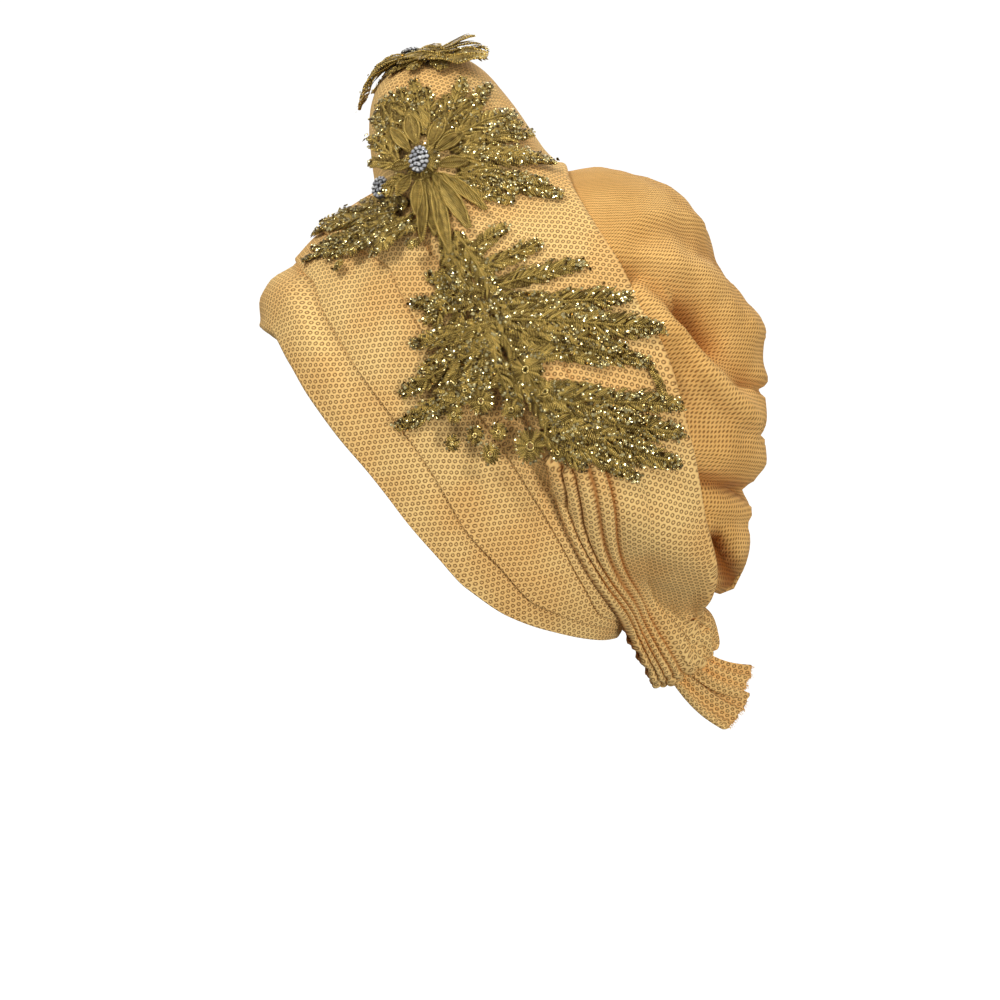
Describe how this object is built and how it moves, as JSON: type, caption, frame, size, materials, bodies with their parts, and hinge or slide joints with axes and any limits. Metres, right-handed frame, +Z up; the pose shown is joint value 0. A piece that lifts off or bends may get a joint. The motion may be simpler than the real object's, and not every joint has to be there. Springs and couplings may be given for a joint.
{
  "type": "tied gele head tie",
  "caption": "Head wrap held in its worn form: snug cap with a full folded bag behind, crossing bias wraps, a tall hollow peak, a nape knot with short tails, and gold lace on the wearer's left.",
  "frame": {"origin": "inside of the cap, where the top of the wearer's head touches it", "axes": "+Z up, -Y toward the wearer's face, +X toward the wearer's left"},
  "size_m": [0.2143, 0.2543, 0.3364],
  "materials": {
    "cloth": "golden tan knit with small staggered dots, soft and matt",
    "bag_cloth": "golden tan knit with a finer dot, a little more orange",
    "lace": "olive gold metallic thread with glitter sequins",
    "rhinestone": "clear cut stones in silver settings"
  },
  "bodies": {
    "root": {"crown_bag": "bag_cloth", "face_band": "cloth", "wrap_lower": "cloth", "wrap_upper": "cloth", "sash": "cloth", "knot": "cloth", "tail_upper": "cloth", "tail_lower": "cloth", "lace_lower": "lace", "lace_upper": "lace", "lace_front": "lace", "lace_crest": "lace", "brooch_upper": "rhinestone", "brooch_front": "rhinestone", "brooch_crest": "rhinestone"}
  },
  "joints": []
}
